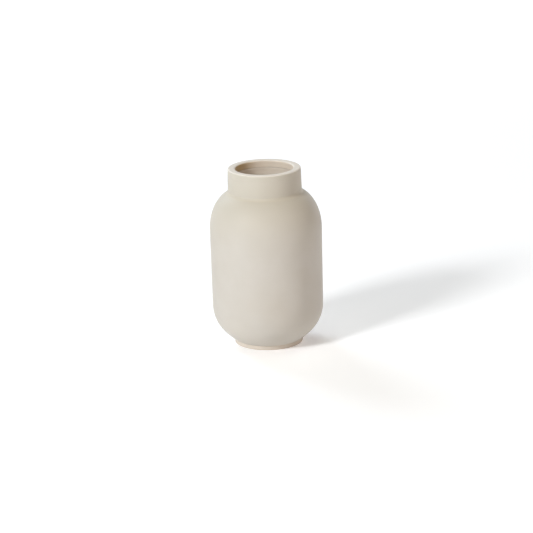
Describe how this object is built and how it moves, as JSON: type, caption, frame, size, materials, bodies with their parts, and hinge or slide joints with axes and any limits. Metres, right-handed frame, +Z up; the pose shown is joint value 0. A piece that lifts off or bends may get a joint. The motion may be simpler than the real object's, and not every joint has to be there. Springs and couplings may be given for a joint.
{
  "type": "bud vase",
  "caption": "Small stoneware bud vase: straight jar body with a long rounded shoulder, a short wide open neck and a low foot ring.",
  "frame": {"origin": "centre of the circle that the foot ring stands on", "axes": "+Z up along the vase's axis, through the middle of the mouth; the vase is round, so +X and +Y are any two directions square to it"},
  "size_m": [0.0872, 0.0872, 0.14],
  "materials": {
    "stoneware": "matte",
    "slip": "matte",
    "lining_glaze": "satin"
  },
  "bodies": {
    "root": {"vessel_body": "stoneware", "neck_collar": "stoneware", "foot_ring": "stoneware", "neck_slip_fillet": "slip", "foot_slip_fillet": "slip", "lining_glaze": "lining_glaze"}
  },
  "joints": []
}
